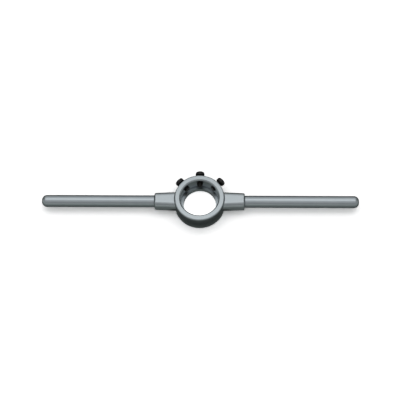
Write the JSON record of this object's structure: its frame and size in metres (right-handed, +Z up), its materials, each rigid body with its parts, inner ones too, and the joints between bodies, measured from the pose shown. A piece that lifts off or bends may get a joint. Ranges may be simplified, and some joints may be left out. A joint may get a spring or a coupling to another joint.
{
  "type": "die stock",
  "caption": "Two-handed stock for turning a round threading die by hand: a cast ring with a stepped die seat and slotted clamp screws, between screwed-in rod handles.",
  "frame": {"origin": "on the ring's axis, at the ring's underside, the face that the work enters from", "axes": "+X along the handles, +Y from the ring's axis to the middle screw, +Z up out of the mouth that takes the die"},
  "size_m": [0.315, 0.0556, 0.0192],
  "materials": {
    "holder": "satin plate over a fine casting",
    "handles": "satin plate over turned steel",
    "screws": "black oxide, lightly oiled"
  },
  "bodies": {
    "stock": {"die_holder": "holder", "left_handle": "handles", "right_handle": "handles"},
    "centre_screw": {"centre_screw": "screws"},
    "left_clamp_screw": {"left_clamp_screw": "screws"},
    "right_clamp_screw": {"right_clamp_screw": "screws"}
  },
  "joints": [
    {"name": "centre_screw_travel", "type": "slide", "parent": "stock", "child": "centre_screw", "axis": [0, 1, 0], "range_m": [-0.0021, 0.005]},
    {"name": "left_screw_travel", "type": "slide", "parent": "stock", "child": "left_clamp_screw", "axis": [-0.7071, 0.7071, 0], "range_m": [-0.0018, 0.004]},
    {"name": "right_screw_travel", "type": "slide", "parent": "stock", "child": "right_clamp_screw", "axis": [0.7071, 0.7071, 0], "range_m": [-0.0027, 0.0031]}
  ]
}
